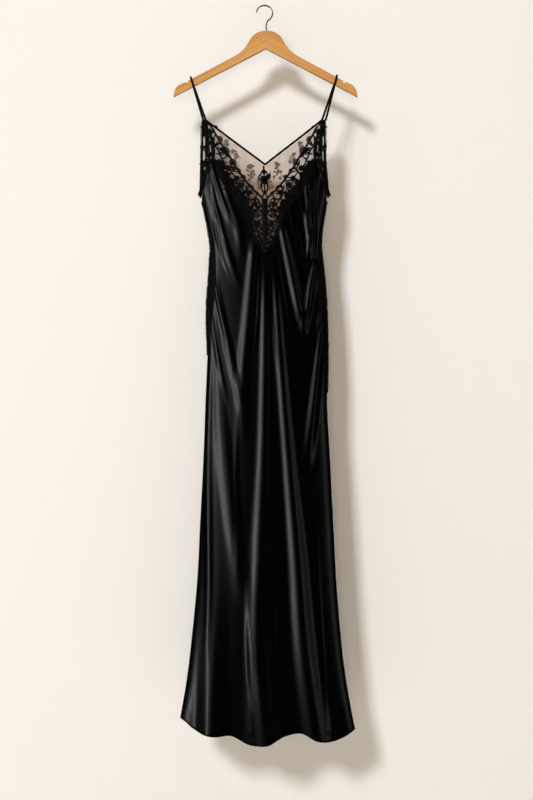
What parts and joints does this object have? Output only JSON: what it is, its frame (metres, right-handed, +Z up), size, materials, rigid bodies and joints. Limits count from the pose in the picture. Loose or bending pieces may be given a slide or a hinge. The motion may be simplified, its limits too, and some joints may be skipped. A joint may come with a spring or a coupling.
{
  "type": "slip dress on a hanger",
  "caption": "Long black satin slip dress with a lace V neckline and lace side insets, hung by its narrow straps on a wooden hanger.",
  "frame": {"origin": "inside of the top of the hanger's hook, where it hangs on a nail or rail", "axes": "+Z up, the front of the dress faces -Y, +X to the right seen from the front"},
  "size_m": [0.4168, 0.1553, 1.6678],
  "materials": {
    "wood": "satin varnish",
    "steel": "bright drawn wire",
    "satin": "black satin weave, glossy",
    "lace": "matte black corded lace",
    "net": "sheer skin-tone net with dark embroidered sprays"
  },
  "bodies": {
    "root": {"hanger_body": "wood", "hanger_hook": "steel", "strap_left": "satin", "strap_right": "satin", "front": "satin", "back": "satin", "neck_lace_left": "lace", "neck_lace_right": "lace", "armhole_lace_left": "lace", "armhole_lace_right": "lace", "side_lace_left": "lace", "side_lace_right": "lace", "back_mesh": "net", "back_binding": "satin", "armhole_binding_left": "satin", "armhole_binding_right": "satin", "back_lace_strip": "lace"}
  },
  "joints": []
}
